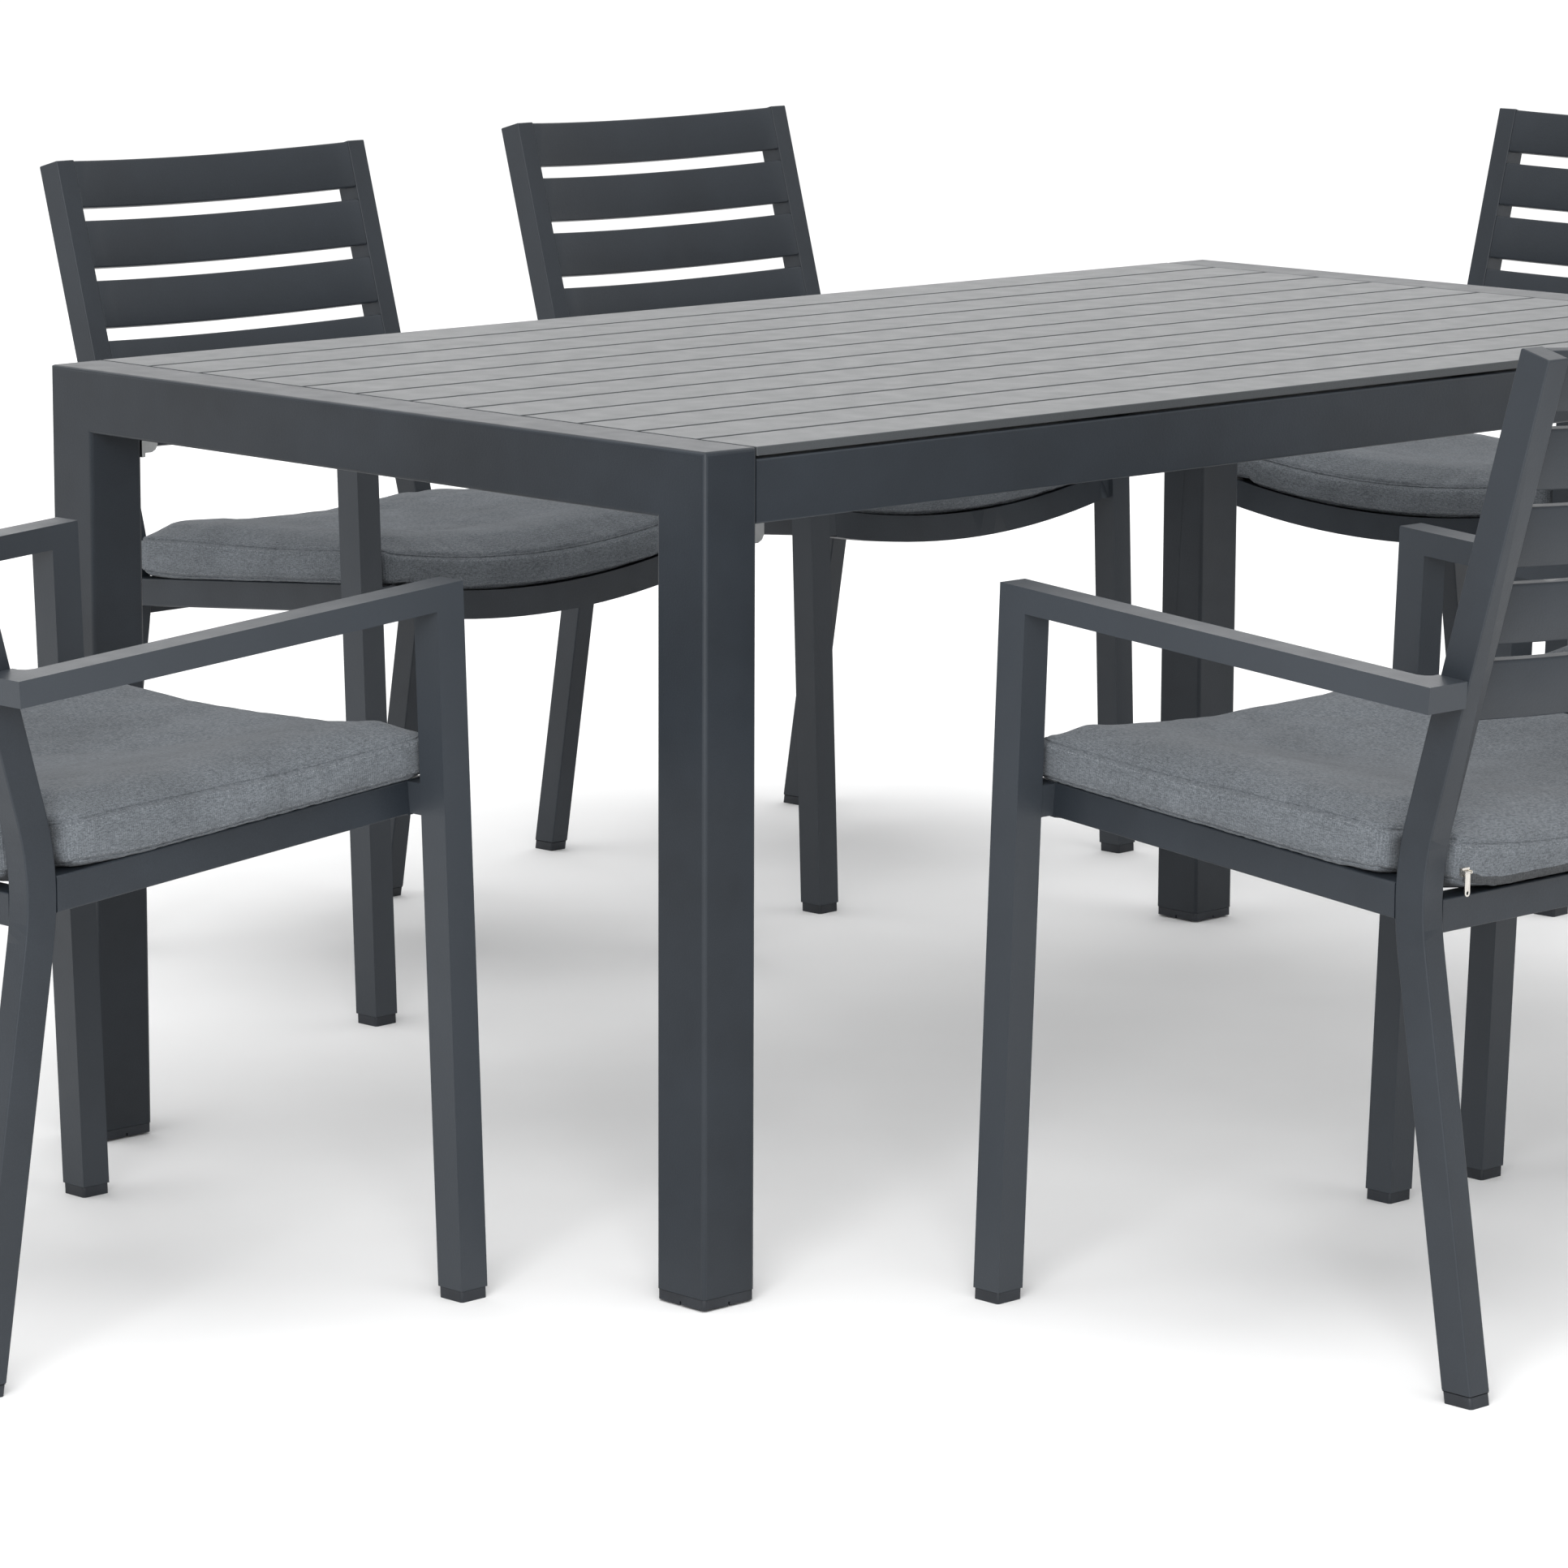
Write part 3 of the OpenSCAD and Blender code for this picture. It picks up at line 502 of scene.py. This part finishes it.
def stuffed_cushion():
    """One cushion in the seat's frame: blank, remesh, cloth, scale to the limit, smooth, one subdivision."""
    rough = mesh_object("rough", *cushion_blank())
    remesh = rough.modifiers.new("remesh", "REMESH")
    remesh.mode = "VOXEL"
    remesh.voxel_size = CUSHION_VOXEL
    blank = evaluated(rough, "blank")
    remove(rough)
    steps = [moved - vertex.co for vertex, moved in zip(blank.data.vertices, stuff(blank))]
    share = SWELL / max(SWELL, *(step.length for step in steps))
    for vertex, step in zip(blank.data.vertices, steps):
        vertex.co += step * share
    form = bmesh.new()
    form.from_mesh(blank.data)
    relax(form, 4)
    bmesh.ops.subdivide_edges(form, edges=form.edges, cuts=1, use_grid_fill=True, smooth=0.0)
    relax(form, 2)
    form.to_mesh(blank.data)
    form.free()
    blank.data.update()
    return blank


def keep_clear(point):
    """Moves a point of the cushion out of the frame, arms and uprights."""
    u, v, z = point
    side = 1 if u > 0 else -1
    if v < SHOULDER - 0.002 and abs(u) > UPRIGHT_IN - 0.001:
        if abs(u) - (UPRIGHT_IN - 0.001) < (SHOULDER - 0.002) - v:
            u = side * (UPRIGHT_IN - 0.001)
        else:
            v = SHOULDER - 0.002
    u = max(-0.2395, min(0.2395, u))
    z = max(z, rest_height(u, v))
    return Vector((u, v, z))


def seam_path(tree, height, step=0.0022, lift=0.0):
    """Points and outward normals on the cushion's side, at the given height round the rim."""
    loop = resample(cushion_rim(0.0), step)
    points = []
    for i, (x, y) in enumerate(loop):
        ahead, behind = loop[(i + 1) % len(loop)], loop[i - 1]
        out = Vector((ahead[1] - behind[1], behind[0] - ahead[0], 0)).normalized()
        start = Vector((x, y, height(x, y) + lift)) + out * 0.02
        hit, normal, _, _ = tree.ray_cast(start, -out, 0.06)
        if hit:
            points.append((hit, normal))
    return points


def tube(points, radius, sides=6, closed=True, sink=0.0):
    """Round tube through points given with their normals."""
    verts, faces = [], []
    count = len(points)
    for i, (p, n) in enumerate(points):
        ahead = points[(i + 1) % count][0] if closed or i < count - 1 else p
        behind = points[i - 1][0] if closed or i else p
        run = (ahead - behind).normalized()
        side = run.cross(n).normalized()
        for k in range(sides):
            angle = 2 * math.pi * k / sides
            verts.append(p + n * (radius * math.cos(angle) - sink) + side * radius * math.sin(angle))
    for i in range(count if closed else count - 1):
        j = (i + 1) % count
        for k in range(sides):
            m = (k + 1) % sides
            faces.append((i * sides + k, i * sides + m, j * sides + m, j * sides + k))
    if not closed:
        faces.append(tuple(range(sides - 1, -1, -1)))
        faces.append(tuple((count - 1) * sides + k for k in range(sides)))
    return verts, faces


def merge(parts):
    verts, faces = [], []
    for part_verts, part_faces in parts:
        base = len(verts)
        verts += part_verts
        faces += [tuple(base + i for i in face) for face in part_faces]
    return verts, faces


def stitches(points, every=3, length=1, radius=0.00036):
    """Short threads laid along a seam."""
    parts = []
    for i in range(0, len(points) - length, every):
        run = points[i : i + length + 1]
        if (run[-1][0] - run[0][0]).length < 0.008:
            parts.append(tube(run, radius, 5, False, radius * 0.4))
    return merge(parts)


NOTCHES = [Vector((s * TONGUE_HALF, SHOULDER, z)) for s in (-1, 1) for z in (0.008, 0.034)]


def crumple(point, normal, seed, seams):
    """How far a point moves along its normal: slow hollows, seam gathers and folds at the notches."""
    shift = Vector((seed * 7.3, seed * 3.1, seed * 5.7))
    lift = noise.noise(point * 60.0 + shift) * 0.00035
    if normal.z > 0:
        slow = noise.noise(point * 9.0 + shift) * 0.0024 + noise.noise(point * 24.0 + shift) * 0.0011
        lift += slow * ease(0.0, 0.4, normal.z)
    gap = seams.find(point)[2]
    if gap < 0.04:
        gather = noise.noise(Vector((point.x * 130, point.y * 130, seed))) * 0.0011
        lift += gather * math.exp(-((gap / 0.012) ** 2)) - 0.0021 * math.exp(-((gap / 0.0028) ** 2))
    for corner in NOTCHES:
        away = point - corner
        if away.length < 0.08:
            angle = math.atan2(away.z, math.copysign(1, corner.x) * away.x + away.y)
            lift += 0.0022 * math.sin(5 * angle + seed) * math.exp(-away.length / 0.026)
    return lift


def seam_tree(points):
    tree = KDTree(len(points))
    for i, (point, _) in enumerate(points):
        tree.insert(point, i)
    tree.balance()
    return tree


def surface_tree(mesh, matrix):
    form = bmesh.new()
    form.from_mesh(mesh)
    form.transform(matrix)
    tree = BVHTree.FromBMesh(form)
    form.free()
    return tree


def finish_cushion(base, seed):
    """One chair's own copy of the cushion mesh, with its creases, in the seat's frame."""
    mesh = base.data.copy()
    tree = surface_tree(mesh, Matrix.Identity(4))
    seams = seam_path(tree, upper_edge) + seam_path(tree, lower_edge)
    near = seam_tree(seams)
    normals = [v.normal.copy() for v in mesh.vertices]
    for vertex, normal in zip(mesh.vertices, normals):
        vertex.co = keep_clear(vertex.co + normal * crumple(vertex.co, normal, seed, near))
    mesh.update()
    return mesh


def trimmings(mesh):
    """Piping-thin seam rolls, their stitches, and the zip tape, laid on the finished surface."""
    tree = surface_tree(mesh, Matrix.Identity(4))
    rolls, threads = [], []
    for height, side in ((upper_edge, -1), (lower_edge, 1)):
        rolls.append(tube(seam_path(tree, height), 0.0012, 8, True, 0.0004))
        threads.append(stitches(seam_path(tree, height, 0.0016, side * 0.0042)))
    tape = [p for p in seam_path(tree, lower_edge, 0.003, 0.0065) if p[1].y < -0.7 and abs(p[0].x) < 0.183]
    return merge(rolls), merge(threads), tape


def strip(points, half, sink):
    """Flat band through points given with their normals."""
    verts, faces = [], []
    for p, n in points:
        for rise, out in ((-half, -sink), (half, -sink), (half, sink), (-half, sink)):
            verts.append(p + Vector((0, 0, rise)) + n * out)
    for i in range(len(points) - 1):
        for k in range(4):
            m = (k + 1) % 4
            faces.append((i * 4 + k, i * 4 + m, (i + 1) * 4 + m, (i + 1) * 4 + k))
    faces.append((0, 1, 2, 3))
    last = (len(points) - 1) * 4
    faces.append((last + 3, last + 2, last + 1, last))
    return verts, faces


def attach(name, verts, faces, matrix, material, body):
    obj = mesh_object(name, verts, faces, matrix)
    obj.data.materials.append(MATERIALS[material])
    smooth(obj)
    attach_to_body(obj, body)
    return obj


cushion = stuffed_cushion()
for seed, chair in enumerate(CHAIRS):
    matrix = chair_matrix(chair) @ seat_matrix()
    body = chair + "_cushion_body"
    mesh = finish_cushion(cushion, seed + 1)
    obj = link(bpy.data.objects.new(chair + "_cushion_cloth", mesh))
    obj.matrix_world = matrix
    mesh.materials.append(MATERIALS["cushion_fabric"])
    smooth(obj)
    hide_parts(chair + "_cushion")
    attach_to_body(obj, body)
    rolls, threads, tape = trimmings(mesh)
    attach(chair + "_cushion_seams", *rolls, matrix, "cushion_fabric", body)
    attach(chair + "_cushion_stitches", *threads, matrix, "seam_thread", body)
    attach(chair + "_zip_tape", *strip(tape, 0.0045, 0.0006), matrix, "zip_tape", body)
remove(cushion)


# ------------------------------------------------------------ camera, floor and light

EYE = Vector((-4.2237, -4.1173, 1.3679))
AIM = Vector((0.68101, 0.71029, -0.17806))
ROLL = math.radians(0.215)

camera_data = bpy.data.cameras.new("camera")
camera_data.sensor_width = 36.0
camera_data.lens = 139.24
camera_data.clip_end = 60.0
camera = link(bpy.data.objects.new("camera", camera_data))
turn = AIM.to_track_quat("-Z", "Y").to_matrix() @ Matrix.Rotation(ROLL, 3, "Z")
camera.matrix_world = Matrix.Translation(EYE) @ turn.to_4x4()
bpy.context.scene.camera = camera


def floor_material():
    n = Nodes("floor")
    n.colour(n.ramp(n.noise(3.0, 2.0), (0.90, 0.90, 0.90), (0.93, 0.93, 0.93)))
    n.shader.inputs["Roughness"].default_value = 0.9
    n.shader.inputs["Specular IOR Level"].default_value = 0.1
    return n.material


REACH = 30.0
floor = mesh_object(
    "floor", [(-REACH, -REACH, 0), (REACH, -REACH, 0), (REACH, REACH, 0), (-REACH, REACH, 0)], [(0, 1, 2, 3)]
)
floor.data.materials.append(floor_material())

world = bpy.data.worlds.new("studio")
world.use_nodes = True
background = world.node_tree.nodes["Background"]
background.inputs["Color"].default_value = (1.0, 1.0, 1.0, 1)
background.inputs["Strength"].default_value = 0.82
bpy.context.scene.world = world


def softbox(name, place, aim, size, power):
    data = bpy.data.lights.new(name, "AREA")
    data.shape = "RECTANGLE"
    data.size, data.size_y = size
    data.energy = power
    light = link(bpy.data.objects.new(name, data))
    light.location = place
    light.rotation_euler = (Vector(aim) - Vector(place)).to_track_quat("-Z", "Y").to_euler()


softbox("front", (-5.0, -4.0, 3.2), (0, 0, 0.4), (3.5, 3.0), 300)
softbox("back", (4.6, 4.8, 3.4), (0, 0, 0.7), (8.0, 3.4), 105)

overhead = bpy.data.lights.new("overhead", "SUN")
overhead.energy = 1.25
overhead.angle = math.radians(60)
SUN_LEAN = math.radians(8)
overhead_light = link(bpy.data.objects.new("overhead", overhead))
overhead_light.rotation_euler = Euler((SUN_LEAN, -SUN_LEAN, 0))

bpy.context.scene.view_settings.view_transform = "Standard"
